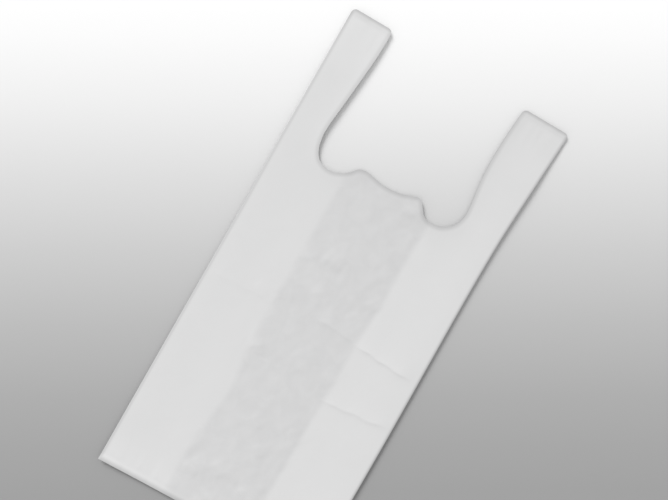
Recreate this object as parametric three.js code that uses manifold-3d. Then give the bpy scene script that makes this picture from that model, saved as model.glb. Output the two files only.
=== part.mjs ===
// A vest carrier bag: one blown tube of thin white film, gusseted at both sides, pressed flat,
// welded straight across both ends and then die-cut, so that the mouth and two loop handles appear.
// Millimetres, +Z up. X runs across the bag, Y from its bottom weld to its handle tips.
// The origin is under the middle of the bag, on the surface that it lies on.

import * as THREE from "three";
import { mergeVertices } from "three/addons/utils/BufferGeometryUtils.js";
import Module from "manifold-3d";

const wasm = await Module();
wasm.setup();

// ---- driving dimensions ----
const WIDTH = 254; // across the flat bag, fold to fold
const LENGTH = 533; // bottom edge to handle tips
const GUSSET = 76; // how far each side is tucked in
const FILM = 0.3; // wall; the real film is about 0.015, too thin to hold as a solid
const PLY_PITCH = 1.1; // from one film to the next where four lie on each other
const MIDDLE_GAP = 0.9; // clear height inside the bag between the gussets

const WELD_INSET = 6; // plain film left outside each weld
const WELD_WIDTH = 3;
const WELD_PRESS = 0.5; // how flat the welds press the folded film, as a share of its free height
const WELD_REACH = 60; // how far from a weld the film still lies pressed

// Half of the die-cut mouth: millimetres out from the middle, and up from the bottom edge.
const MOUTH = [
  [0, 397.5], // lowest point of the shallow curve between the two horns
  [15, 399.2],
  [24, 402],
  [30, 403.2], // tip of the horn
  [36, 401],
  [42, 395],
  [50, 389.2],
  [61, 387], // bottom of the bay beside the handle
  [72, 389.3],
  [80, 396.5],
  [83.8, 408], // side of the bay
  [83, 428],
  [79, 461],
  [77.5, 497], // inner edge of the handle where it is widest
  [79, LENGTH + 10], // the cutter runs past the handle tips
];
const MOUTH_STEPS = 4; // straight pieces between each two of these places

// ---- values that follow ----
const halfWidth = WIDTH / 2;
const foldRadius = PLY_PITCH / 2;
const foldX = halfWidth - foldRadius - FILM / 2; // centre of the outer folds
const tuckX = halfWidth - GUSSET + foldRadius + FILM / 2; // centre of the tucked-in folds
const plyHeight = [0, 1, 2, 3].map((ply) => FILM / 2 + ply * PLY_PITCH);
const middleHeight = plyHeight[0] + FILM + MIDDLE_GAP;
const DIP_START = halfWidth - GUSSET - 3; // the front panel leaves the gusset here
const DIP_END = DIP_START - 24; // and lies at its lowest from here
const DIP_POINTS = 6;
const ARC_POINTS = 4;

// Height of the front panel's mid-surface at a distance x from the middle.
function frontHeight(x) {
  const share = THREE.MathUtils.smoothstep(Math.abs(x), DIP_END, DIP_START);
  return THREE.MathUtils.lerp(middleHeight, plyHeight[3], share);
}

// Places across the front panel where the section needs a point, left to right.
function frontStations() {
  const side = [];
  for (let i = 0; i <= DIP_POINTS; i++) {
    side.push(THREE.MathUtils.lerp(DIP_START, DIP_END, i / DIP_POINTS));
  }
  return [...side.map((x) => -x), ...side.reverse()];
}

// A fold seen end on: half a circle about (x, z), from straight below its centre to straight above.
// It bulges towards +X when side is 1, and towards -X when side is -1.
function foldPoints(x, z, radius, side) {
  const points = [];
  for (let i = 0; i <= ARC_POINTS; i++) {
    const angle = -Math.PI / 2 + (Math.PI * i) / ARC_POINTS;
    points.push(new THREE.Vector2(x + side * radius * Math.cos(angle), z + radius * Math.sin(angle)));
  }
  return points;
}

// One face of the film all the way round the folded tube, anticlockwise.
// grow is +FILM / 2 for the outside of the bag and -FILM / 2 for its inside.
function filmLoop(grow) {
  const lowFold = (plyHeight[0] + plyHeight[1]) / 2;
  const tuckFold = (plyHeight[1] + plyHeight[2]) / 2;
  const highFold = (plyHeight[2] + plyHeight[3]) / 2;
  const right = [
    ...foldPoints(foldX, lowFold, foldRadius + grow, 1),
    ...foldPoints(tuckX, tuckFold, foldRadius - grow, -1),
    ...foldPoints(foldX, highFold, foldRadius + grow, 1),
  ];
  const left = right.map((p) => new THREE.Vector2(-p.x, p.y)).reverse();
  const front = frontStations().map((x) => new THREE.Vector2(x, frontHeight(x) + grow));
  return [...right, ...front.reverse(), ...left];
}

// The folded tube's section, a closed ribbon of film with the inside of the bag as its hole.
function tubeSection() {
  const shape = new THREE.Shape(filmLoop(FILM / 2));
  shape.holes.push(new THREE.Path(filmLoop(-FILM / 2)));
  return shape;
}

// The section of a weld, where everything between the front and back films has run together.
function weldSection() {
  const front = frontStations().map((x) => new THREE.Vector2(x, frontHeight(x)));
  return new THREE.Shape([
    new THREE.Vector2(-foldX, plyHeight[0]),
    new THREE.Vector2(foldX, plyHeight[0]),
    new THREE.Vector2(foldX, plyHeight[3]),
    ...front.reverse(),
    new THREE.Vector2(-foldX, plyHeight[3]),
  ]);
}

// How high the folded film stands at a distance y from the bottom edge, as a share of its free height.
function loft(y) {
  const fromWeld = Math.min(y, LENGTH - y) - WELD_INSET - WELD_WIDTH;
  return THREE.MathUtils.lerp(WELD_PRESS, 1, THREE.MathUtils.smoothstep(fromWeld, 0, WELD_REACH));
}

// Distances along the bag where the tube needs a ring of points.
function tubeStations() {
  const nearWeld = [0];
  const LOFT_STEPS = 6;
  for (let i = 0; i <= LOFT_STEPS; i++) {
    nearWeld.push(WELD_INSET + WELD_WIDTH + (WELD_REACH * i) / LOFT_STEPS);
  }
  return [...nearWeld, ...nearWeld.map((y) => LENGTH - y).reverse()];
}

// Extrudes a section, drawn across X and up Z, through a list of places along the bag.
function extrudeAlong(section, stations) {
  const steps = stations.length - 1;
  const geometry = new THREE.ExtrudeGeometry(section, { depth: steps, steps, bevelEnabled: false });
  const position = geometry.getAttribute("position");
  for (let i = 0; i < position.count; i++) {
    const y = stations[Math.round(position.getZ(i))];
    position.setXYZ(i, -position.getX(i), y, position.getY(i) * loft(y));
  }
  return geometry;
}

// The opening that the die stamps out, drawn from above: one smooth curve, alike left and right.
function mouthOutline() {
  const right = MOUTH.map(([x, y]) => new THREE.Vector2(x, y));
  const left = right.slice(1).map((p) => new THREE.Vector2(-p.x, p.y)).reverse();
  const places = [...left, ...right];
  return new THREE.Shape(new THREE.SplineCurve(places).getPoints(MOUTH_STEPS * (places.length - 1)));
}

function solidOf(geometry) {
  geometry.deleteAttribute("normal");
  geometry.deleteAttribute("uv");
  const merged = mergeVertices(geometry, 1e-4);
  const mesh = new wasm.Mesh({
    numProp: 3,
    vertProperties: merged.getAttribute("position").array,
    triVerts: new Uint32Array(merged.index.array),
  });
  return new wasm.Manifold(mesh);
}

function geometryOf(solid) {
  const mesh = solid.getMesh();
  const geometry = new THREE.BufferGeometry();
  geometry.setAttribute("position", new THREE.BufferAttribute(mesh.vertProperties, 3));
  geometry.setIndex(new THREE.BufferAttribute(mesh.triVerts, 1));
  geometry.computeVertexNormals();
  return geometry;
}

function weldBar(y) {
  return solidOf(extrudeAlong(weldSection(), [y, y + WELD_WIDTH]));
}

function mouthCutter() {
  const depth = 4 * plyHeight[3];
  const geometry = new THREE.ExtrudeGeometry(mouthOutline(), { depth, bevelEnabled: false });
  return solidOf(geometry.translate(0, 0, -depth / 4));
}

function carrierBag() {
  const tube = solidOf(extrudeAlong(tubeSection(), tubeStations()));
  const welded = tube.add(weldBar(WELD_INSET)).add(weldBar(LENGTH - WELD_INSET - WELD_WIDTH));
  const geometry = geometryOf(welded.subtract(mouthCutter()));
  const film = new THREE.MeshStandardMaterial({ color: 0xe9eaea, roughness: 0.5, metalness: 0 });
  const mesh = new THREE.Mesh(geometry, film);
  mesh.name = "carrier_bag";
  mesh.position.y = -LENGTH / 2;
  return mesh;
}

const part = new THREE.Group();
part.add(carrierBag());

export default part;
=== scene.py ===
# %% [markdown]
# # A vest carrier bag, lying flat
# The real bag is one piece of very thin milky plastic film. The film is blown as a tube, both
# sides of the tube are tucked inwards, both ends are welded straight across, and a die then cuts
# away the middle of one end, so that a mouth and two loop handles are left.
# We build it in the same way: a flat layer in the bag's outline, four such layers joined at their
# folds, and then a shape that lets the layers rise, settle and crumple as limp film does.
# Everything is in metres, in the frame that the construction model gives: X runs across the bag,
# Y runs from its bottom weld to its handle tips, and Z is up.

# %% Load the frame
import math

import bmesh
import bpy
from mathutils import Matrix, Vector, noise
from mathutils.geometry import interpolate_bezier
from mathutils.kdtree import KDTree


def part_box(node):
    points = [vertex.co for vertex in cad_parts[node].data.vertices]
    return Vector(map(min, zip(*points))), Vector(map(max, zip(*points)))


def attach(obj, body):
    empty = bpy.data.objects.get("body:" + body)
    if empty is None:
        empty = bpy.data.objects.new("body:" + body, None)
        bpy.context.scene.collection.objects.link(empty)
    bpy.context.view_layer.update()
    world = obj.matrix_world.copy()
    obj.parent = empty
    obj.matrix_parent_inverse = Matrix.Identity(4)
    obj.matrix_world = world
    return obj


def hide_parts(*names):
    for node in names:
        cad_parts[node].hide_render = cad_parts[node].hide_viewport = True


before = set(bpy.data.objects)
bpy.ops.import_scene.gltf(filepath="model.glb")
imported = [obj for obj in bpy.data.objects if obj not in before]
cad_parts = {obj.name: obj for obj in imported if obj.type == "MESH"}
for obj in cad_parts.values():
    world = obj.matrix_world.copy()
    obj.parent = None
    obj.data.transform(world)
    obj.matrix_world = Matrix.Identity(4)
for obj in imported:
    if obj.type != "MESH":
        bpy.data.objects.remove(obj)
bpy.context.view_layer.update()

# %% [markdown]
# ## Sizes
# The frame tells how wide and how long the bag is, so we read its outline from there. What the
# frame can't tell, such as how deep the sides are tucked in, is a named size of our own. Film is
# thin and its creases are small, so it is easiest to think in millimetres, and `MM` turns them
# into metres. The real film is thinner still than the one here, but a wall that thin would be
# hard for a renderer to tell from nothing.

# %% Sizes
MM = 0.001
low_corner, high_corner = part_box("carrier_bag")
HALF_WIDTH = high_corner.x
BOTTOM = low_corner.y
TOP = high_corner.y
GUSSET = 76 * MM
TUCK = HALF_WIDTH - GUSSET
FILM = 0.05 * MM
WELD = 7.5 * MM

# %% [markdown]
# ## Camera
# The bag is seen from almost straight above, turned so that it lies aslant in the view. We say
# where the camera is, which spot on the floor it aims at, and which way along the floor points up
# in the view. From these three a rotation is built column by column: the camera's right hand,
# its top, and its back. An empty for the camera to track would aim it too, but it can't easily say
# how the view is turned.

# %% Camera
CAMERA_PLACE = Vector((-84, 112, 952)) * MM
CAMERA_AIM = Vector((-20.5, 47.5, 0)) * MM
VIEW_UP = math.radians(120)

uphill = Vector((math.cos(VIEW_UP), math.sin(VIEW_UP), 0))
ahead = (CAMERA_AIM - CAMERA_PLACE).normalized()
right_hand = ahead.cross(uphill).normalized()
turn = Matrix((right_hand, right_hand.cross(ahead), -ahead)).transposed().to_4x4()

camera_data = bpy.data.cameras.new("camera")
camera_data.lens = 50
camera_data.sensor_width = 36
camera = bpy.data.objects.new("camera", camera_data)
camera.matrix_world = Matrix.Translation(CAMERA_PLACE) @ turn
bpy.context.scene.collection.objects.link(camera)
bpy.context.scene.camera = camera
off_plumb = math.degrees(ahead.angle(Vector((0, 0, -1))))
print(f"camera {CAMERA_PLACE.z:.2f} m up, {off_plumb:.1f} deg off plumb")

# %% [markdown]
# ## The mouth that the die leaves
# The mouth is one smooth curve with a deep bay beside each handle, two small horns, and a shallow
# hollow between them. A die is even, but limp film never lies quite even, so the two bays differ a
# little. We could draw the curve as an object, but a short list of places with a smooth curve put
# through them is quicker to change. Each stretch between two places is a Bezier curve whose
# handles point along the line from the place before to the place after.

# %% Curve of the mouth
# Places along the cut edge, in millimetres: x from the middle, y up from the bottom edge.
MOUTH = (
    (75.4, 533), (73.4, 505), (72.7, 480), (73.4, 458), (76, 437), (78.3, 421), (78.4, 410.5),
    (75.2, 400.2), (68.6, 392.6), (60.5, 388.2), (49.8, 387.6), (42.3, 390.5), (36.7, 396.7),
    (32.7, 401.8), (28, 403.9), (20, 401.5), (9, 398), (-3, 396.5), (-14, 397.1), (-25, 399.3),
    (-33, 400.2), (-40, 398), (-46, 391.5), (-53, 386.3), (-62, 382.8), (-71, 382.9),
    (-80, 387.2), (-85.8, 396.2), (-88.4, 408), (-88.6, 421), (-86, 446), (-82.5, 480),
    (-80.4, 505), (-79.8, 533),
)
CURVE_STEPS = 4


def smooth_through(places, steps):
    """Points of a smooth curve through all the places."""
    line = [places[0]]
    last = len(places) - 1
    for i in range(last):
        before, start, end, after = (places[max(0, min(last, i + k))] for k in (-1, 0, 1, 2))
        first_handle = start + (end - before) / 6
        second_handle = end - (after - start) / 6
        line += interpolate_bezier(start, first_handle, second_handle, end, steps + 1)[1:]
    return line


mouth_places = [Vector((x * MM, BOTTOM + y * MM, 0)) for x, y in MOUTH]
mouth_line = smooth_through(mouth_places, CURVE_STEPS)
deepest = min(point.y for point in mouth_line) - BOTTOM
print(f"{len(mouth_line)} points along the mouth, cut down to {deepest / MM:.0f} mm above the bottom")

# %% [markdown]
# ## Measuring from the mouth
# Much of what follows depends on how far a place is from the cut edge: the film lifts there, and
# its finish shows a line. A k-d tree is a quick way to ask which of many points is nearest. It
# only knows points and not the line between them, so it gets a finer copy of the same curve.

# %% Distance from the mouth
FINDER_STEPS = 40
fine_line = smooth_through(mouth_places, FINDER_STEPS)
mouth_finder = KDTree(len(fine_line))
for index, place in enumerate(fine_line):
    mouth_finder.insert(place, index)
mouth_finder.balance()


def from_mouth(x, y):
    """How far a place on the flat outline is from the cut edge of the mouth."""
    return mouth_finder.find((x, y, 0))[2]


print(f"bottom corner to mouth: {from_mouth(HALF_WIDTH, BOTTOM) / MM:.0f} mm")

# %% [markdown]
# ## Outline of one layer
# Three straight sides and the mouth close the outline. Soft film keeps no sharp corners at its
# handle tips, so those four are rounded. Their places in the list are noted here, and the
# bevel that rounds them comes once there is a face to work on.

# %% Outline
outline = [
    Vector((-HALF_WIDTH, TOP, 0)),
    Vector((-HALF_WIDTH, BOTTOM, 0)),
    Vector((HALF_WIDTH, BOTTOM, 0)),
    Vector((HALF_WIDTH, TOP, 0)),
] + mouth_line
TIP_CORNERS = (0, 3, 4, len(outline) - 1)
TIP_ROUND = 5 * MM
TIP_ROUND_STEPS = 4
print(f"{len(outline)} points round the outline")

# %% [markdown]
# ## Where a layer is cut into cells
# A layer starts as a single face with the bag's outline. A face that large can't bend, so it is
# sliced into small cells, first into rows and then into columns. Cells are small beside a fold or
# a weld, where the film turns sharply, and larger in the flat. Rows are also close together where
# the two long creases run, or their ridges would come out ragged. A grid would be simpler, but its
# squares can't follow the round mouth. All layers share the same rows, so that they can be joined.

# %% Rows and columns
FOLD_STEPS = (0.12, 0.4, 0.9, 1.6, 2.6, 4)
WELD_STEPS = (1.5, 3, 4.5, 6, 7.5, 9, 11, 13)
CREASED_STRETCHES = ((168, 181), (232, 246))
ROW = 3.1 * MM
FINE_ROW = 1.1 * MM
VISIBLE_COLUMN = 2.4 * MM
HIDDEN_COLUMN = 8 * MM


def evenly(start, end, step):
    """Places from start to end, no more than a step apart, without the two ends."""
    count = math.ceil((end - start) / step)
    return [start + (end - start) * i / count for i in range(1, count)]


def columns(left, right, step):
    """Where a layer between two folds is cut lengthways."""
    near = [s * MM for s in FOLD_STEPS]
    inner = evenly(left + near[-1], right - near[-1], step)
    return [left + s for s in near] + inner + [right - s for s in reversed(near)]


def rows():
    """Where every layer is cut crossways."""
    near = [s * MM for s in WELD_STEPS]
    places = [BOTTOM + s for s in near]
    for low, high in CREASED_STRETCHES:
        low, high = BOTTOM + low * MM, BOTTOM + high * MM
        places += evenly(places[-1], low, ROW) + [low] + evenly(low, high, FINE_ROW) + [high]
    return places + evenly(places[-1], TOP - near[-1], ROW) + [TOP - s for s in reversed(near)]


front_columns = columns(-HALF_WIDTH, HALF_WIDTH, VISIBLE_COLUMN)
print(f"{len(rows())} cuts across, and {len(front_columns)} cuts along the front")

# %% [markdown]
# ## Slicing
# `bisect_plane` cuts every face that it is given along a plane. That gets slow as the faces
# multiply, so each cut is given only what lies beyond the cut before it. The operator hands back
# the faces on both sides of its cut, and those whose centre lies beyond it go on to the next. A
# small square shows whether it works: three cuts should leave four strips.

# %% Slicing
def slice_faces(layer, places, across):
    """Cuts a layer at each place, along the direction that across points in."""
    rest = layer.faces[:]
    for place in places:
        edges = {edge for face in rest for edge in face.edges}
        verts = {vert for face in rest for vert in face.verts}
        made = bmesh.ops.bisect_plane(
            layer, geom=[*rest, *edges, *verts], dist=1e-7, plane_co=across * place, plane_no=across
        )
        faces = (part for part in made["geom"] if isinstance(part, bmesh.types.BMFace))
        rest = [face for face in faces if face.calc_center_bounds().dot(across) > place]


square = bmesh.new()
bmesh.ops.create_grid(square, x_segments=1, y_segments=1, size=1)
slice_faces(square, (-0.5, 0, 0.5), Vector((1, 0, 0)))
print(f"three cuts leave {len(square.faces)} strips")
square.free()

# %% [markdown]
# ## Making one layer
# The outline becomes one face, and a bevel on four of its corners rounds the tips. A pleat is
# narrower than the bag, so what lies outside its two folds is cleared away by two cuts, and then
# come the rows and the columns.

# %% One flat layer
def flat_layer(left, right, step):
    """The part of the outline between two folds, flat on the floor and cut into cells."""
    layer = bmesh.new()
    corners = [layer.verts.new(point) for point in outline]
    layer.faces.new(corners)
    bmesh.ops.bevel(
        layer, geom=[corners[i] for i in TIP_CORNERS], affect="VERTICES",
        offset=TIP_ROUND, segments=TIP_ROUND_STEPS, profile=0.5, material=-1,
    )
    for place, inward in ((left, 1), (right, -1)):
        everything = layer.verts[:] + layer.edges[:] + layer.faces[:]
        bmesh.ops.bisect_plane(
            layer, geom=everything, dist=1e-7, clear_inner=True,
            plane_co=(place, 0, 0), plane_no=(inward, 0, 0),
        )
    slice_faces(layer, rows(), Vector((0, 1, 0)))
    slice_faces(layer, columns(left, right, step), Vector((1, 0, 0)))
    return layer


trial = flat_layer(TUCK, HALF_WIDTH, HIDDEN_COLUMN)
print(f"one half of a pleat has {len(trial.faces)} cells")
trial.free()

# %% [markdown]
# ## Storeys for the layers
# From the floor up lie the back, the lower and the upper half of each side's pleat, and the
# front. Each layer gets a storey of its own, and a fold lies halfway between the storeys of the
# two layers that it joins. The storeys are far apart for now, so that points which must stay
# separate can't be merged by mistake. The front gets narrow columns, because it is seen best.

# %% Storeys
STOREY = 10 * MM
BACK, LOWER_PLEAT, UPPER_PLEAT, FRONT = range(4)
LOWER_FOLD, INNER_FOLD, UPPER_FOLD = 0.5, 1.5, 2.5
PLEAT_STOREYS = (LOWER_PLEAT, INNER_FOLD, UPPER_PLEAT)
LAYERS = (
    # storey, left end, right end, widest column, and whether it faces down
    (BACK, -HALF_WIDTH, HALF_WIDTH, HIDDEN_COLUMN, True),
    (LOWER_PLEAT, -HALF_WIDTH, -TUCK, HIDDEN_COLUMN, False),
    (LOWER_PLEAT, TUCK, HALF_WIDTH, HIDDEN_COLUMN, False),
    (UPPER_PLEAT, -HALF_WIDTH, -TUCK, HIDDEN_COLUMN, True),
    (UPPER_PLEAT, TUCK, HALF_WIDTH, HIDDEN_COLUMN, True),
    (FRONT, -HALF_WIDTH, HALF_WIDTH, VISIBLE_COLUMN, False),
)


def storey_of_fold(storey, x):
    """The storey of the fold that a layer has at x, or the layer's own one away from any fold."""
    if abs(abs(x) - HALF_WIDTH) < 1e-6:
        return LOWER_FOLD if storey in (BACK, LOWER_PLEAT) else UPPER_FOLD
    if abs(abs(x) - TUCK) < 1e-6 and storey in (LOWER_PLEAT, UPPER_PLEAT):
        return INNER_FOLD
    return storey


print(f"{len(LAYERS)} pieces of film on {FRONT + 1} storeys")

# %% [markdown]
# ## Joining the layers
# Layers that face down are turned over, so that every face points out of the film's tube. Each
# layer is made in a bmesh of its own, carried over into the bag by a mesh, and freed. At a fold
# two layers now have points at the same places, and `remove_doubles` merges those, which leaves
# one tube of film, open at the mouth.

# %% Join the layers
bag = bmesh.new()
for storey, left, right, step, faces_down in LAYERS:
    layer = flat_layer(left, right, step)
    if faces_down:
        bmesh.ops.reverse_faces(layer, faces=layer.faces)
    for vert in layer.verts:
        vert.co.z = STOREY * storey_of_fold(storey, vert.co.x)
    carrier = bpy.data.meshes.new("carrier")
    layer.to_mesh(carrier)
    bag.from_mesh(carrier)
    bpy.data.meshes.remove(carrier)
    layer.free()
before_joining = len(bag.verts)
bmesh.ops.remove_doubles(bag, verts=bag.verts, dist=1e-6)
print(f"{len(bag.faces)} cells, {before_joining - len(bag.verts)} points joined at the folds")

# %% [markdown]
# ## Soft steps, bumps and smooth noise
# How film lies is worked out from three simple shapes: a step that starts and ends softly, a round
# bump, and noise that wanders up and down without jumps. Noise from `mathutils` depends only on
# the place and the seed, so the bag comes out the same each time.

# %% Simple shapes
def eased(share):
    """0 to 1 with a soft start and end, and held there beyond."""
    share = max(0.0, min(1.0, share))
    return share * share * (3 - 2 * share)


def bump(distance, reach):
    """1 at distance 0, falling away smoothly over about the reach."""
    return math.exp(-((distance / reach) ** 2))


def waver(x, y, size, seed):
    """Smooth noise from about -1 to 1, with waves about the given size."""
    return noise.noise(Vector((x / size, y / size, seed))) * 1.6


print(f"half a soft step: {eased(0.5)}, a bump at its reach: {bump(1, 1):.2f}")

# %% [markdown]
# ## Where the pleats end inside
# Seen from above, the inner fold of each pleat draws the border of the middle strip, because the
# film is paler where four layers lie together. A pleat is never tucked in evenly. The left one
# reaches a little further in and bulges towards the middle low down. The right one is straighter,
# and comes in a little further over its lower half.

# %% Inner folds
LEFT_DEEPER = 2.2
LEFT_BULGE, LEFT_BULGE_UP, LEFT_BULGE_REACH = 7.5, 130, 34
RIGHT_DEEPER = 0.8
RIGHT_STEP, RIGHT_STEP_UP, RIGHT_STEP_REACH = 1.6, 260, 80


def tuck_at(x, y):
    """How far from the middle the inner fold of the pleat is, on the same side as x."""
    up = (y - BOTTOM) / MM
    if x > 0:
        wander = 1.1 * waver(0, y, size=60 * MM, seed=3.1)
        step = RIGHT_STEP * eased((RIGHT_STEP_UP - up) / RIGHT_STEP_REACH)
        return TUCK + (-RIGHT_DEEPER + wander - step) * MM
    wander = 0.9 * waver(0, y, size=50 * MM, seed=7.7)
    bulge = LEFT_BULGE * bump(up - LEFT_BULGE_UP, LEFT_BULGE_REACH)
    return TUCK + (-LEFT_DEEPER + wander - bulge) * MM


bulge_y = BOTTOM + LEFT_BULGE_UP * MM
print(f"inner folds at {-tuck_at(-1, bulge_y) / MM:.1f} and {tuck_at(1, bulge_y) / MM:.1f} mm low down")

# %% [markdown]
# ## Where the welds hold the film down
# In a weld all layers are one, so nothing can rise there. Away from it they come free little by
# little. Beyond the weld is a narrow skirt that was never welded, and it flares open slightly.

# %% Freedom along the bag
WELD_REACH = 62 * MM
FLARE = 0.35


def from_end(y):
    """How far a place is from the nearer end of the bag, along it."""
    return min(y - BOTTOM, TOP - y)


def freedom(y):
    """0 in a weld, where all layers are one, and 1 well away from both ends."""
    past_weld = from_end(y) - WELD
    if past_weld < 0:
        return FLARE * eased(-past_weld / WELD)
    return eased(past_weld / WELD_REACH)


# %% [markdown]
# ## How thick the stack of layers lies
# Film has almost no weight and a little spring. Its folds hold the sides open by a few
# millimetres, and between the two pleats the front sinks on to the back. We work this out as a
# height for the whole stack, of which each layer later gets a share. Heights that only ever add up
# keep the layers in their order. One fault is left: beside the welds a layer's share of the least
# stack is less than two walls are thick, so there the walls overlap by a few hundredths of a
# millimetre. A cloth simulation could settle film too, but layers that lie only tenths of a
# millimetre apart would need very small steps, and a shape this flat hardly shows the difference.

# %% Height of the stack
LEAST_STACK = 0.24 * MM
INNER_RISE = 0.08 * MM
OUTER_RISE = 2.6 * MM
MIDDLE_RISE = 0.05 * MM
SINK_WIDTH = 26 * MM


def stack_height(x, y):
    """From the floor side of the back to the top of the front, where no wrinkle adds to it."""
    tuck = tuck_at(x, y)
    out = (abs(x) - tuck) / (HALF_WIDTH - tuck)
    spring = 1 + 0.10 * waver(x, y, size=90 * MM, seed=1.3)
    free = freedom(y) * spring
    if out >= 0:
        rise = INNER_RISE + (OUTER_RISE - INNER_RISE) * min(1.0, out)
        return LEAST_STACK + rise * free
    sunk = eased((tuck - abs(x)) / SINK_WIDTH)
    return LEAST_STACK + (INNER_RISE * (1 - sunk) + MIDDLE_RISE * sunk) * free


in_middle, at_side = stack_height(0, 0) / MM, stack_height(HALF_WIDTH, 0) / MM
print(f"stack {in_middle:.2f} mm high in the middle and {at_side:.2f} mm at a side")

# %% [markdown]
# ## How the cut edge lifts
# Round the mouth nothing holds the cut edge down, so it lifts off the floor: a little all along,
# more on the left handle than on the right one, and most of all at the right horn. The lift dies
# away from the cut edge into the film.

# %% Lift of the cut edge
MOUTH_LIFT, MOUTH_LIFT_REACH = 0.8 * MM, 20 * MM
HANDLE_LIFT = 0.9 * MM
RIGHT_HANDLE_SHARE = 0.3
HORN_X, HORN_UP, HORN_REACH, HORN_SHARE = 36, 400, 15, 2.2


def handle_share(x, y):
    """How much of the handle's lift a place gets: none in the body, and the most near a tip."""
    past_bay = eased((y - BOTTOM - 378 * MM) / (36 * MM))
    past_middle = eased((abs(x) / MM - 50) / 30)
    towards_tip = 0.5 + 0.9 * eased((y - TOP + 75 * MM) / (60 * MM))
    return past_bay * past_middle * towards_tip * (1.0 if x < 0 else RIGHT_HANDLE_SHARE)


def mouth_lift(x, y):
    """How much further off the floor a place is because the cut edge is near."""
    horn = bump(math.hypot(x / MM - HORN_X, (y - BOTTOM) / MM - HORN_UP), HORN_REACH)
    lift = MOUTH_LIFT + HANDLE_LIFT * (handle_share(x, y) + HORN_SHARE * horn)
    return lift * math.exp(-from_mouth(x, y) / MOUTH_LIFT_REACH)


horn_lift = mouth_lift(HORN_X * MM, BOTTOM + HORN_UP * MM)
print(f"the cut edge lifts {horn_lift / MM:.2f} mm at the right horn")

# %% [markdown]
# ## How far the bag is off the floor
# Nothing presses limp film quite flat. It swells here and there, its sides and its handle tips
# stand off a little, and the stiff bottom weld lifts most, which gives the bottom edge its shadow.

# %% Gap to the floor
LEAST_GAP = 0.08 * MM
SWELL_LIFT = 0.35 * MM
SIDE_LIFT = 1.0 * MM
TIP_LIFT, TIP_LIFT_REACH = 0.9 * MM, 170 * MM
BOTTOM_LIFT, BOTTOM_LIFT_REACH = 2.9 * MM, 32 * MM


def floor_gap(x, y):
    """How far the back is off the floor."""
    swell = 0.5 + 0.5 * waver(x, y, size=150 * MM, seed=5.5)
    side = eased((abs(x) / HALF_WIDTH - 0.55) / 0.45)
    tip = eased((y - TOP + TIP_LIFT_REACH) / TIP_LIFT_REACH)
    gap = LEAST_GAP + SWELL_LIFT * swell * (1 - 0.5 * side) + SIDE_LIFT * side + TIP_LIFT * tip
    gap += BOTTOM_LIFT * math.exp(-(y - BOTTOM) / BOTTOM_LIFT_REACH)
    return gap + mouth_lift(x, y)


in_middle, at_bottom = floor_gap(0, 0) / MM, floor_gap(0, BOTTOM) / MM
print(f"gap {in_middle:.2f} mm in the middle and {at_bottom:.2f} mm at the bottom edge")

# %% [markdown]
# ## Where the creases are
# A few soft creases are left from the way the bag was packed. Two long ones cross the right side,
# and short ones lie about in the middle. They follow no rule, so they are simply listed.

# %% Places of the creases
CREASES = (
    # from x, y to x, y, then height and width; all in millimetres, y up from the bottom edge
    (2, 244, 44, 241, 0.42, 3.2), (48, 238, 117, 235, 0.85, 2.6), (46, 171, 121, 178, 0.64, 2.8),
    (-119, 233, -60, 236, 0.14, 3.0), (-74, 244, -60, 234, 0.22, 2.4),
    (-26, 303, -5, 297, 0.85, 3.0), (-47, 184, -34, 191, 0.80, 2.8),
    (-41, 180, -30, 186, 0.5, 2.6), (22, 389, 33, 382, 0.6, 3.0), (-44, 292, -30, 300, 0.40, 2.8),
    (14, 326, 28, 320, 0.35, 3.0), (-18, 270, -6, 256, 0.40, 2.8), (38, 285, 50, 279, 0.45, 2.8),
    (-6, 196, 12, 184, 0.45, 3.2), (34, 196, 50, 190, 0.4, 3.0), (10, 94, 20, 84, 0.6, 2.8),
    (34, 126, 46, 114, 0.6, 3.0), (-20, 56, -6, 44, 0.7, 3.2), (-44, 44, -28, 34, 0.7, 3.2),
    (18, 46, 30, 30, 0.6, 3.0), (-8, 120, 6, 112, 0.5, 2.8),
)
print(f"{len(CREASES)} creases, the highest {max(crease[4] for crease in CREASES)} mm")

# %% [markdown]
# ## The shape of a crease
# Each crease is a low ridge along its line: steep on its lower side and gentle above, as film is
# where it was folded over and let go again. A little noise keeps the line from being ruled, and
# the ridge fades out at both ends. A crease could be drawn in the bump of the finish instead, but
# then it would vanish in a side view and from the finished mesh.

# %% Height of a crease
GENTLE_SIDE, STEEP_SIDE = 3.0, 0.8


def crease_height(x, y, crease):
    """A low ridge along a line, steep on its lower side and gentle above."""
    x1, y1, x2, y2, height, width = crease
    start, end = Vector((x1, y1)), Vector((x2, y2))
    here = Vector((x / MM, (y - BOTTOM) / MM))
    along = (here - start).dot(end - start) / (end - start).length_squared
    if not -0.2 < along < 1.2:
        return 0.0
    upper_side = (end - start).orthogonal().normalized()
    if upper_side.y < 0:
        upper_side = -upper_side
    above = (here - start).dot(upper_side) + 1.4 * waver(x, y, size=15 * MM, seed=2.2)
    reach = width * (GENTLE_SIDE if above > 0 else STEEP_SIDE)
    ends = eased((0.6 - abs(along - 0.5)) / 0.3)
    return height * MM * math.exp(-abs(above) / reach) * ends


x1, y1, x2, y2 = CREASES[1][:4]
on_crease = crease_height((x1 + x2) / 2 * MM, BOTTOM + (y1 + y2) / 2 * MM, CREASES[1])
print(f"the longer upper crease adds {on_crease / MM:.2f} mm halfway along")

# %% [markdown]
# ## Crumple
# All over the middle, where only two layers lie together, the film is crumpled: small flat slopes
# that meet in low ridges. Smooth noise makes such slopes when its sign is taken away, since it then
# turns sharply wherever it passes through 0. Some patches are crumpled more than others, and so is
# the lower part.

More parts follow.
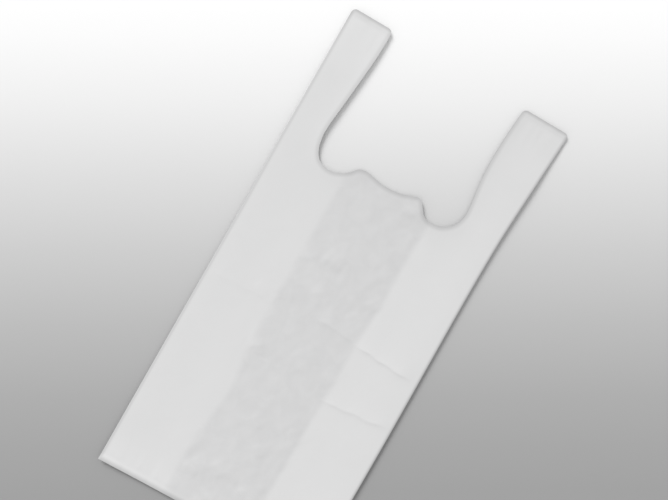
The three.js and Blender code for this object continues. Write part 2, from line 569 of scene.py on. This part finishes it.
# %% Crumple
CRUMPLE = 1.3 * MM
CRUMPLE_EVERYWHERE = 0.04
CRUMPLE_IN_MIDDLE = 0.10
CRUMPLE_IN_PATCHES = 0.14
CRUMPLE_LOW_DOWN = 0.12


def ridges(x, y, size, seed):
    """Low flat slopes that meet in sharp ridges about the given size apart, from 0 to 1."""
    return 1 - min(1.0, 1.7 * abs(waver(x, y, size, seed)))


def crumple_height(x, y):
    """How high the crumpled front stands at a place, over its four-layered sides and its middle."""
    middle = 1 - eased((abs(x) - tuck_at(x, y) + 6 * MM) / (14 * MM))
    low_down = eased((150 * MM - (y - BOTTOM)) / (110 * MM))
    patch = eased(0.5 + 0.7 * waver(x, y, size=55 * MM, seed=12.5))
    in_middle = CRUMPLE_IN_MIDDLE + CRUMPLE_IN_PATCHES * patch + CRUMPLE_LOW_DOWN * low_down
    share = CRUMPLE_EVERYWHERE + in_middle * middle
    wide = ridges(x, 0.8 * y, size=24 * MM, seed=4.4)
    fine = ridges(x, y, size=11 * MM, seed=9.1)
    slopes = 0.62 * wide + 0.38 * fine
    return CRUMPLE * (0.25 + share * (slopes - 0.5)) * eased(from_end(y) / (22 * MM))


print(f"crumple adds {crumple_height(0, 0) / MM:.2f} mm in the middle of the front")

# %% [markdown]
# ## Puckers
# Beside the welds the film is gathered into short puckers, which noise makes when it is stretched
# along the bag. Like crumple they can come out a little below 0, which would sink the front into
# the layer under it, so the sum of the two is held at 0. Creases only ever add.

# %% Puckers, and all wrinkles together
PUCKER = 0.30 * MM
PUCKER_WIDTH, PUCKER_LENGTH = 3.4 * MM, 60 * MM


def pucker_height(x, y):
    """The short gathers beside a weld."""
    past_weld = abs(from_end(y) - WELD)
    gather = noise.noise(Vector((x / PUCKER_WIDTH, y / PUCKER_LENGTH, 6.6)))
    fade = math.exp(-past_weld / (17 * MM)) * eased(past_weld / (5 * MM))
    return PUCKER * (0.5 + gather) * fade


def wrinkle_height(x, y):
    """Everything that the front film adds to the flat stack. It is never below 0."""
    total = crumple_height(x, y) + pucker_height(x, y)
    return max(0.0, total) + sum(crease_height(x, y, crease) for crease in CREASES)


print(f"all wrinkles add {wrinkle_height(0, BOTTOM + 2 * WELD) / MM:.2f} mm just above the bottom weld")

# %% [markdown]
# ## How the layers share the stack's height
# Each storey has a share of the stack's height. At a fold the two layers that meet must close
# along a round edge: their distance follows a quarter of an ellipse over the last bit before the
# fold, as the wall of a pipe seen end on does. A point on a fold itself is halfway between two
# storeys, and lies halfway between their shares.

# %% Shares of the stack
FOLD_REACH = 2.1 * MM
SHARES = (0.0, 0.36, 0.64, 1.0)


def fold_opening(distance):
    """How far open a fold is at a distance from its edge, from 0 to 1."""
    return math.sqrt(1 - (1 - min(1.0, max(0.0, distance) / FOLD_REACH)) ** 2)


def share_of_stack(x, y, storey):
    """How much of the stack's height lies below a point on a storey, or on a fold between two."""
    shares = list(SHARES)
    opening = fold_opening(HALF_WIDTH - abs(x))
    for low, high in ((BACK, LOWER_PLEAT), (UPPER_PLEAT, FRONT)):
        middle = (SHARES[low] + SHARES[high]) / 2
        shares[low] = middle + (SHARES[low] - middle) * opening
        shares[high] = middle + (SHARES[high] - middle) * opening
    if storey in PLEAT_STOREYS:
        opening = fold_opening(abs(x) - tuck_at(x, y))
        shares[LOWER_PLEAT] += (0.5 - shares[LOWER_PLEAT]) * (1 - opening)
        shares[UPPER_PLEAT] += (0.5 - shares[UPPER_PLEAT]) * (1 - opening)
    below, above = math.floor(storey), math.ceil(storey)
    return (shares[below] + shares[above]) / 2


print("share at the upper fold of a side:", round(share_of_stack(HALF_WIDTH, 0, UPPER_FOLD), 2))

# %% [markdown]
# ## The height of every point
# The height of a point is the gap to the floor, plus its share of the stack, plus the wrinkles if
# it is on the front. Wrinkles fade as the front turns down into its fold. The cut edges of the
# mouth get a small lip, since nothing holds the layers together there.

# %% Height of a point
LIP_RISE = 0.5 * MM
LIP_REACH = 12 * MM


def point_height(x, y, storey):
    """Height over the floor of a point that lies on a storey, or between two storeys at a fold."""
    lip = LIP_RISE * math.exp(-from_mouth(x, y) / LIP_REACH)
    lip *= 0.6 + 0.4 * waver(x, y, size=40 * MM, seed=8.3)
    stack = stack_height(x, y) + max(0.0, lip)
    height = floor_gap(x, y) + share_of_stack(x, y, storey) * stack
    if storey == FRONT:
        height += wrinkle_height(x, y) * fold_opening(HALF_WIDTH - abs(x))
    return height


print(f"the front is {point_height(0, 0, FRONT) / MM:.2f} mm up in the middle")

# %% [markdown]
# ## How the outline is drawn in
# A fold that stands open takes up width, so the sides don't lie where the flat outline has them.
# The left side is drawn in all along. The right side is drawn in beside the mouth and stands out
# towards both ends, so it is bowed. Lengthways the film is a little short at the bottom, where the
# weld shrank it, and a little long at the handle tips. Only the outer part of each side moves, and
# what moves does so softly, so that no cell is pinched.

# %% Sideways and lengthways shift
LEFT_IN, LEFT_IN_LESS = 2.2, 1.0
RIGHT_OUT, RIGHT_BOW, RIGHT_BOW_UP = 1.6, 5.4, 390
BOW_REACH_BELOW, BOW_REACH_ABOVE = 190, 95
BOTTOM_SHORT, TIPS_LONG = 3.3, 2.8


def drawn_in(x, y):
    """Where a place on the flat outline ends up on the floor."""
    up = (y - BOTTOM) / MM
    if x < 0:
        shift = LEFT_IN - LEFT_IN_LESS * eased((up - 300) / 100)
        share = eased((-x / MM - 88) / 39)
    else:
        bow_reach = BOW_REACH_BELOW if up < RIGHT_BOW_UP else BOW_REACH_ABOVE
        bow = RIGHT_BOW * bump(up - RIGHT_BOW_UP, bow_reach)
        shift = RIGHT_OUT - bow + eased((up - 480) / 50)
        share = eased((x / MM - 80) / 47)
    stretch = BOTTOM_SHORT * eased((60 - up) / 60) + TIPS_LONG * eased((up - 430) / 103)
    return x + shift * share * MM, y + stretch * MM


beside_mouth = drawn_in(HALF_WIDTH, BOTTOM + RIGHT_BOW_UP * MM)[0] - HALF_WIDTH
print(f"beside the mouth the right side moves by {beside_mouth / MM:.1f} mm")

# %% [markdown]
# ## Shaping the tube
# Now every point gets its true place. Before a point moves, we note four marks on it for the finish
# to read later: how much of the stack is four layers thick there, how near it is to a weld, and
# how far it is from the nearest fold or end and from the cut edge, in millimetres. The inner folds
# are moved to where `tuck_at` has them, and the rest of each pleat follows in proportion. All
# edges are shaded smoothly except those round the mouth, where the film really ends.

# %% Shape every point
MARK_REACH = 20 * MM
four_layers = bag.verts.layers.float.new("four_layers")
weld_mark = bag.verts.layers.float.new("weld")
to_fold = bag.verts.layers.float.new("to_fold")
to_cut = bag.verts.layers.float.new("to_cut")
for vert in bag.verts:
    storey = round(2 * vert.co.z / STOREY) / 2
    x, y = vert.co.x, vert.co.y
    vert[four_layers] = eased((abs(x) - tuck_at(x, y)) / (8 * MM) + 0.5)
    vert[weld_mark] = bump(from_end(y) - WELD, 1.6 * MM)
    vert[to_fold] = min(HALF_WIDTH - abs(x), TOP - y, (y - BOTTOM) / 1.5, MARK_REACH) / MM
    vert[to_cut] = min(from_mouth(x, y), MARK_REACH) / MM
    if storey in PLEAT_STOREYS:
        shift = (tuck_at(x, y) - TUCK) * (HALF_WIDTH - abs(x)) / GUSSET
        x += (shift if x > 0 else -shift) * eased(from_mouth(x, y) / (40 * MM))
    height = point_height(x, y, storey)
    vert.co = Vector((*drawn_in(x, y), height))
for edge in bag.edges:
    edge.smooth = not edge.is_boundary
heights = [vert.co.z for vert in bag.verts]
print(f"film lies from {min(heights) / MM:.2f} to {max(heights) / MM:.2f} mm over the floor")

# %% [markdown]
# ## The film as an object
# The bmesh becomes a mesh and an object, and a Solidify modifier gives the sheet its wall. An
# offset of -1 grows the wall inwards, so the outside stays where we put it. The wall could be
# made in the bmesh as well, but as a modifier it can still be changed.

# %% Film object
film_mesh = bpy.data.meshes.new("carrier_bag_film")
bag.to_mesh(film_mesh)
bag.free()
film = bpy.data.objects.new("carrier_bag_film", film_mesh)
bpy.context.scene.collection.objects.link(film)
for polygon in film_mesh.polygons:
    polygon.use_smooth = True
wall = film.modifiers.new("wall", "SOLIDIFY")
wall.thickness = FILM
wall.offset = -1
film_area = sum(polygon.area for polygon in film_mesh.polygons)
print(f"film area {film_area:.3f} square metres, wall {wall.thickness / MM:.2f} mm")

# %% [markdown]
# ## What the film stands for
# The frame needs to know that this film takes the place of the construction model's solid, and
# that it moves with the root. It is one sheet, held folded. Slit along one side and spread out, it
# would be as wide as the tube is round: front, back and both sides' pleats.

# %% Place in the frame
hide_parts("carrier_bag")
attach(film, "root")

# %% [markdown]
# ## The film's finish
# The film is thin, milky plastic: a soft gloss, pale grey where two layers lie on each other and
# paler where a pleat makes them four. Three effects are made as node groups, each with its own
# inputs, so that they can be tried and used apart: a soft cloudiness from uneven thickness, a fine
# crinkle for the bump, and a darker line along an edge, which is partly painted shade. A painted
# image would be quicker to render, but it would blur in a close view.
# A group's sockets belong to its interface, so the first helper makes them there.

# %% Helper for a node group
def new_group(name, inputs, outputs):
    """An empty node group with the given sockets. An input is a name and its usual value."""
    group = bpy.data.node_groups.new(name, "ShaderNodeTree")
    for label, value in inputs:
        socket = group.interface.new_socket(label, in_out="INPUT", socket_type="NodeSocketFloat")
        socket.default_value = value
    group.interface.new_socket("Vector", in_out="INPUT", socket_type="NodeSocketVector")
    for label in outputs:
        group.interface.new_socket(label, in_out="OUTPUT", socket_type="NodeSocketFloat")
    return group, group.nodes.new("NodeGroupInput"), group.nodes.new("NodeGroupOutput")


print("groups so far:", len(bpy.data.node_groups))

# %% [markdown]
# ### Adding nodes
# A node is made, set and linked in much the same way each time. These helpers take for each
# socket either a plain value or the output of another node, and do what fits. A maths node is
# used so often that it gets a short helper of its own. A trial group shows both uses at once: its
# second node takes a plain value and what the first one gives.

# %% Helpers for nodes
def set_socket(tree, socket, value):
    """Sets a socket to a value, or links it if the value is another node's output."""
    if isinstance(value, bpy.types.NodeSocket):
        tree.links.new(value, socket)
    else:
        socket.default_value = value


def add_node(tree, kind, settings=(), **sockets):
    """A node with its settings, and with each named socket set or linked."""
    node = tree.nodes.new(kind)
    for label, value in dict(settings).items():
        setattr(node, label, value)
    for label, value in sockets.items():
        set_socket(tree, node.inputs[label.replace("_", " ")], value)
    return node


def math_node(tree, operation, first, second=0.5):
    """The output of a math node."""
    node = tree.nodes.new("ShaderNodeMath")
    node.operation = operation
    for socket, value in zip(node.inputs, (first, second)):
        set_socket(tree, socket, value)
    return node.outputs["Value"]


trial = bpy.data.node_groups.new("trial", "ShaderNodeTree")
math_node(trial, "MULTIPLY", math_node(trial, "ADD", 1.0, 2.0), 3.0)
print("a trial group has", len(trial.nodes), "nodes and", len(trial.links), "link")
bpy.data.node_groups.remove(trial)

# %% [markdown]
# ### Reading a group and a mark
# Two nodes join what was made before to a material. One places a group, with its inputs set. The
# other reads a mark that every point of the mesh carries, and blends it from point to point. The
# marks could be worked out again in the nodes, but they are known already.

# %% Helpers for groups and marks
def place_group(tree, group, **sockets):
    """A node group placed in a material, with its sockets set."""
    return add_node(tree, "ShaderNodeGroup", {"node_tree": group}, **sockets)


def read_mark(tree, name):
    """The value that each point of the mesh carries under a name."""
    return add_node(tree, "ShaderNodeAttribute", {"attribute_name": name}).outputs["Fac"]


print("marks to read:", [mark.name for mark in film_mesh.attributes if mark.domain == "POINT"])

# %% [markdown]
# ### Cloudiness
# Blown film is never equally thick, so it is a little paler here and there. Soft noise makes the
# clouds. Its output is moved so that it swings evenly about 0, and can be added to any colour.

# %% Cloudiness group
clouds, given, result = new_group("film_clouds", [("Size", 0.02), ("Depth", 0.02)], ["Value"])
scale = math_node(clouds, "DIVIDE", 1.0, given.outputs["Size"])
cloud_noise = add_node(
    clouds, "ShaderNodeTexNoise", {}, Vector=given.outputs["Vector"], Scale=scale,
    Detail=2.0, Roughness=0.55, Distortion=0.6,
)
centred = math_node(clouds, "SUBTRACT", cloud_noise.outputs["Fac"], 0.5)
swing = math_node(clouds, "MULTIPLY", centred, 2.0)
deep = math_node(clouds, "MULTIPLY", swing, given.outputs["Depth"])
clouds.links.new(deep, result.inputs["Value"])
print("film_clouds:", len(clouds.nodes), "nodes")

# %% [markdown]
# ### Crinkle
# Thin stiff film keeps a mark wherever it was bent: short, sharp ridges in all directions. The
# place where a noise passes through its middle value is such a line, so we take how far the noise
# is from its middle and turn it over. Two sizes make long ridges with shorter ones between them.

# %% Crinkle group
LONG_RIDGES, SHORT_RIDGES = (1.0, 0.65), (0.42, 0.35)
crinkle, given, result = new_group("film_crinkle", [("Size", 0.02), ("Width", 0.12)], ["Height"])
height = 0.0
for share_of_size, weight in (LONG_RIDGES, SHORT_RIDGES):
    size = math_node(crinkle, "MULTIPLY", given.outputs["Size"], share_of_size)
    scale = math_node(crinkle, "DIVIDE", 1.0, size)
    ridge_noise = add_node(
        crinkle, "ShaderNodeTexNoise", {}, Vector=given.outputs["Vector"], Scale=scale,
        Detail=1.0, Distortion=0.4,
    )
    from_middle = math_node(crinkle, "SUBTRACT", ridge_noise.outputs["Fac"], 0.5)
    off_middle = math_node(crinkle, "ABSOLUTE", from_middle)
    ridge = add_node(
        crinkle, "ShaderNodeMapRange", {"interpolation_type": "SMOOTHSTEP"}, Value=off_middle,
        From_Max=given.outputs["Width"], To_Min=1.0, To_Max=0.0,
    )
    weighed = math_node(crinkle, "MULTIPLY", ridge.outputs["Result"], weight)
    height = math_node(crinkle, "ADD", height, weighed)
crinkle.links.new(height, result.inputs["Height"])
print("film_crinkle:", len(crinkle.nodes), "nodes")

# %% [markdown]
# ### Edge line and painted shade
# At a fold or a cut edge we look along the film instead of through it, and the layers never end in
# quite the same place, so each edge is drawn by a thin grey line. The line is also painted shade:
# it stands in for the shade under and between the layers' edges, and it darkens the rounded fold
# where the lamp would make it bright. The group takes the distance from an edge, which every point
# of the mesh carries, and gives the factor to darken by.

# %% Edge line group
edge_line_and_shade, given, result = new_group(
    "edge_line_and_shade", [("Distance", 10.0), ("Width", 2.0), ("Darkest", 0.8)], ["Factor"]
)
# Partly painted shade: the factor darkens towards an edge.
fade = add_node(
    edge_line_and_shade, "ShaderNodeMapRange", {"interpolation_type": "SMOOTHSTEP"},
    Value=given.outputs["Distance"], From_Max=given.outputs["Width"],
    To_Min=given.outputs["Darkest"], To_Max=1.0,
)
edge_line_and_shade.links.new(fade.outputs["Result"], result.inputs["Factor"])
print("edge_line_and_shade:", len(edge_line_and_shade.nodes), "nodes")

# %% [markdown]
# ### The film's colour
# The material starts from two plain tones and mixes them by the mark for four layers. Wide clouds
# go over all of it, and deeper, smaller ones only where the film is two layers thick, since the
# crumpled middle is more uneven. The clouds follow the object's coordinates, which need no
# unwrapping, since the film lies flat and is never stretched.

# %% Film colour
TWO_LAYERS = (0.630, 0.630, 0.632, 1)
FOUR_LAYERS = (0.683, 0.683, 0.684, 1)
WIDE_CLOUDS = {"Size": 0.030, "Depth": 0.012}
MIDDLE_CLOUDS = {"Size": 0.018, "Depth": 0.055}
film_finish = bpy.data.materials.new("film")
film_finish.use_nodes = True
tree = film_finish.node_tree
shader = tree.nodes["Principled BSDF"]

places = tree.nodes.new("ShaderNodeTexCoord").outputs["Object"]
pleated = read_mark(tree, "four_layers")
tone = add_node(tree, "ShaderNodeMix", {"data_type": "RGBA"})
tone.inputs["A"].default_value = TWO_LAYERS
tone.inputs["B"].default_value = FOUR_LAYERS
tree.links.new(pleated, tone.inputs["Factor"])

two_layered = math_node(tree, "SUBTRACT", 1.0, pleated)
wide_clouds = place_group(tree, clouds, Vector=places, **WIDE_CLOUDS).outputs["Value"]
middle_clouds = place_group(tree, clouds, Vector=places, **MIDDLE_CLOUDS).outputs["Value"]
in_middle = math_node(tree, "MULTIPLY", middle_clouds, two_layered)
cloudy = math_node(tree, "ADD", wide_clouds, in_middle)
factor = math_node(tree, "ADD", cloudy, 1.0)
print("film colour:", len(tree.nodes), "nodes")

# %% [markdown]
# ### Painted light and shade from side to side
# The lamp catches the right side of the bag more squarely than the left, so painted light on the
# left and painted shade on the right even the two out. A plain slope from the left side to the
# right is enough for that: the place's X is mapped to a factor just above 1 on the left and just
# below it on the right.

# %% Painted light and shade from side to side
LEFT_PAINTED_LIGHT, RIGHT_PAINTED_SHADE = 1.021, 0.965
across = add_node(tree, "ShaderNodeSeparateXYZ", {}, Vector=places)
# Painted light on the left, painted shade on the right: a slope across the bag.
painted_side_shading = add_node(
    tree, "ShaderNodeMapRange", {}, Value=across.outputs["X"],
    From_Min=-HALF_WIDTH, From_Max=HALF_WIDTH, To_Min=LEFT_PAINTED_LIGHT, To_Max=RIGHT_PAINTED_SHADE,
)
factor = math_node(tree, "MULTIPLY", factor, painted_side_shading.outputs["Result"])
print(f"the tone falls from {LEFT_PAINTED_LIGHT} on the left to {RIGHT_PAINTED_SHADE} on the right")

# %% [markdown]
# ### Lines along the edges
# The same group draws both kinds of edge: a firm line along the folds and the ends, where four
# layers turn, and a wider, fainter one round the mouth. Both are partly painted shade. Both darken
# the cloudy tone, and the result becomes the base colour.

# %% Edge lines
# Partly painted shade: darker along the folds and ends, and round the cut edge of the mouth.
fold_line_and_shade = place_group(
    tree, edge_line_and_shade, Distance=read_mark(tree, "to_fold"), Width=4.2, Darkest=0.74
)
cut_line_and_shade = place_group(
    tree, edge_line_and_shade, Distance=read_mark(tree, "to_cut"), Width=5.6, Darkest=0.82
)
factor = math_node(tree, "MULTIPLY", factor, fold_line_and_shade.outputs["Factor"])
factor = math_node(tree, "MULTIPLY", factor, cut_line_and_shade.outputs["Factor"])
tinted = add_node(tree, "ShaderNodeVectorMath", {"operation": "SCALE"}, Scale=factor)
tree.links.new(tone.outputs["Result"], tinted.inputs[0])
tree.links.new(tinted.outputs["Vector"], shader.inputs["Base Color"])
print("base colour comes from:", shader.inputs["Base Color"].links[0].from_node.name)

# %% [markdown]
# ### Gloss and relief
# The gloss is weak and wide: limp film is covered in marks too small to see, so even against the
# light it shows no clear reflection. It changes a little with the clouds, since rubbed film is
# duller. The crinkle and the fine ribs that the welding bar leaves are too shallow to model, so
# they go to a Bump node. Ribs are waves across the bag, kept to the welds by their mark.

# %% Film gloss and relief
DULLNESS, DULLNESS_SWING = 0.64, 4.0
CRINKLE_SHARE = 0.6
shader.inputs["IOR"].default_value = 1.5
shader.inputs["Specular IOR Level"].default_value = 0.15
swing = math_node(tree, "MULTIPLY", wide_clouds, DULLNESS_SWING)
tree.links.new(math_node(tree, "ADD", swing, DULLNESS), shader.inputs["Roughness"])

creased = place_group(tree, crinkle, Vector=places, Size=0.016, Width=0.06).outputs["Height"]
ribs = add_node(
    tree, "ShaderNodeTexWave", {"bands_direction": "X"}, Vector=places, Scale=180.0, Distortion=0.3
)
weld_ribs = math_node(tree, "MULTIPLY", ribs.outputs["Fac"], read_mark(tree, "weld"))
relief = math_node(tree, "ADD", math_node(tree, "MULTIPLY", creased, CRINKLE_SHARE), weld_ribs)
bump_node = add_node(tree, "ShaderNodeBump", {}, Height=relief, Strength=0.10, Distance=0.0002)
tree.links.new(bump_node.outputs["Normal"], shader.inputs["Normal"])
film_mesh.materials.append(film_finish)
print("film:", len(tree.nodes), "nodes")

# %% [markdown]
# ## Floor
# The bag lies on a sheet of studio paper. One large square does, much larger than the view, so
# that its border stays out of sight. It belongs to the stage and not to the bag.

# %% Floor
FLOOR_SIZE = 60
floor_shape = bmesh.new()
bmesh.ops.create_grid(floor_shape, x_segments=1, y_segments=1, size=FLOOR_SIZE / 2)
floor_mesh = bpy.data.meshes.new("floor")
floor_shape.to_mesh(floor_mesh)
floor_shape.free()
floor = bpy.data.objects.new("floor", floor_mesh)
bpy.context.scene.collection.objects.link(floor)
print(f"floor {FLOOR_SIZE} m square")

# %% [markdown]
# ## Paper
# The paper is white at the far side and fades to a mid grey towards the viewer. The fade is
# painted light and shade, as light falling off across the floor would give it. How far a place lies
# along the view's upward direction is a dot product, and a Map Range node turns it into 0 at the
# near border of the view and 1 at the far one. A row of lamps could grade a white sheet too, but
# the bag would be graded with it.

# %% Paper, and how far up the view a place lies
PAPER_REACH = 0.258
paper = bpy.data.materials.new("paper_with_painted_fade")
paper.use_nodes = True
tree = paper.node_tree
shader = tree.nodes["Principled BSDF"]
shader.inputs["Roughness"].default_value = 0.85
shader.inputs["Specular IOR Level"].default_value = 0.2
places = tree.nodes.new("ShaderNodeTexCoord").outputs["Object"]
along = add_node(tree, "ShaderNodeVectorMath", {"operation": "DOT_PRODUCT"})
tree.links.new(places, along.inputs[0])
along.inputs[1].default_value = uphill
middle = CAMERA_AIM.dot(uphill)
share = add_node(
    tree, "ShaderNodeMapRange", {}, Value=along.outputs["Value"],
    From_Min=middle - PAPER_REACH, From_Max=middle + PAPER_REACH,
)
print(f"the paper fades over {2 * PAPER_REACH:.2f} m")

# %% [markdown]
# ### Greys of the painted fade
# A ramp turns the share into the grey of the painted fade. A ramp of two stops would fade too
# evenly: the real fade is slow near the viewer, quicker in the middle, and slow again where it
# nears white. Each stop is a place along the ramp and its grey.

# %% Greys of the painted fade
PAINTED_FADE_GREYS = (
    (0.00, 0.339), (0.10, 0.364), (0.20, 0.398), (0.35, 0.478), (0.50, 0.580),
    (0.65, 0.697), (0.80, 0.828), (0.92, 0.916), (1.00, 0.955),
)
# Painted light and shade: white far off, fading to grey towards the viewer.
ramp = add_node(tree, "ShaderNodeValToRGB", {}, Fac=share.outputs["Result"])
stops = ramp.color_ramp.elements
while len(stops) < len(PAINTED_FADE_GREYS):
    stops.new(0.5)
for stop, (place, grey) in zip(stops, PAINTED_FADE_GREYS):
    stop.position = place
    stop.color = (grey, grey, grey, 1)
tree.links.new(ramp.outputs["Color"], shader.inputs["Base Color"])
floor_mesh.materials.append(paper)
print(f"paper: {len(stops)} greys, from {stops[0].color[0]:.2f} to {stops[-1].color[0]:.2f}")

# %% [markdown]
# ## Light
# One wide lamp far away to the left gives the soft shadow along the right-hand edges, and a pale
# surrounding fills it. The lamp's width in degrees says how soft its shadows are. A far lamp is
# the same all over the bag, so both handles and the bottom get equal light, which a lamp close by
# would not give. Colours are shown as they are, without a tone curve.

# %% Light
LIGHT_TURN = math.radians(146)
LIGHT_RISE = math.radians(34)
LIGHT_WIDTH = math.radians(28)
LIGHT_STRENGTH = 2.26
SURROUNDING = 0.66

key_data = bpy.data.lights.new("key", "SUN")
key_data.angle = LIGHT_WIDTH
key_data.energy = LIGHT_STRENGTH
key = bpy.data.objects.new("key", key_data)
towards_key = Vector((math.cos(LIGHT_TURN), math.sin(LIGHT_TURN), math.tan(LIGHT_RISE))).normalized()
key.rotation_euler = towards_key.to_track_quat("Z", "Y").to_euler()
bpy.context.scene.collection.objects.link(key)

world = bpy.data.worlds.new("studio")
world.use_nodes = True
background = world.node_tree.nodes["Background"]
background.inputs["Color"].default_value = (1, 1, 1, 1)
background.inputs["Strength"].default_value = SURROUNDING
bpy.context.scene.world = world
bpy.context.scene.view_settings.view_transform = "Standard"
print(f"key light from {math.degrees(LIGHT_TURN):.0f} deg, {math.degrees(LIGHT_RISE):.0f} deg up")
